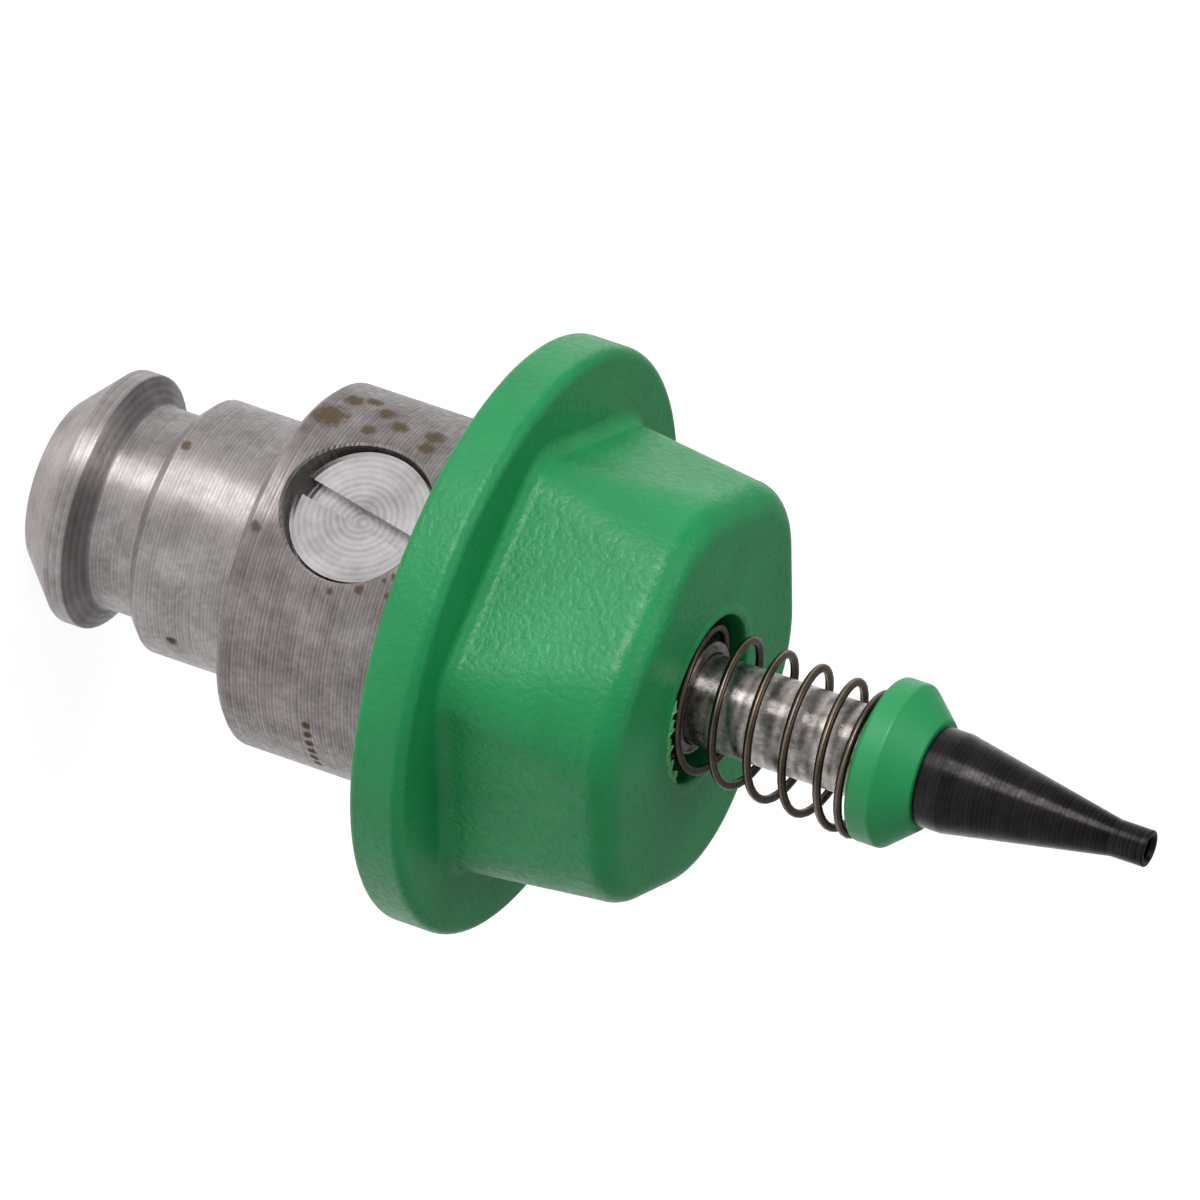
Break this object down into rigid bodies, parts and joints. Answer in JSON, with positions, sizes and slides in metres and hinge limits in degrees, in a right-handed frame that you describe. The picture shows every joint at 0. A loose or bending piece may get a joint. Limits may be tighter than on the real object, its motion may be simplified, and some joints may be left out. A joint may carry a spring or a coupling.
{
  "type": "spring-loaded vacuum pick-up nozzle",
  "caption": "Spring-loaded vacuum pick-up nozzle: turned steel shank, green disc cap with hexagonal boss, sprung plunger and fine black suction tip.",
  "frame": {"origin": "centre of the shank's end face", "axes": "+Z along the nozzle axis towards the suction tip; the guide screw faces -Y"},
  "size_m": [0.0162, 0.016, 0.0316],
  "materials": {
    "turned_stainless": "fine turned stainless steel with feed lines on the barrel and small brown oxide spots",
    "green_plastic": "injection-moulded engineering plastic, fine grain on the flats, half gloss",
    "ground_steel": "ground and handled hardened steel, mottled",
    "black_oxide_steel": "blackened steel, worn to grey along the edges",
    "spring_wire": "drawn spring wire, brown heat tint"
  },
  "bodies": {
    "holder": {"shank_body": "turned_stainless", "reflector_cap": "green_plastic", "guide_bush": "ground_steel", "guide_screw": "turned_stainless", "return_spring": "spring_wire"},
    "plunger": {"plunger_tube": "ground_steel", "spring_collar": "green_plastic", "nozzle_tip": "black_oxide_steel"}
  },
  "joints": [
    {"name": "plunger_slide", "type": "slide", "parent": "holder", "child": "plunger", "axis": [0, 0, -1], "range_m": [0, 0.0025], "stiffness_N_per_m": 150, "springref_m": -0.002, "deforming": ["return_spring"]}
  ]
}
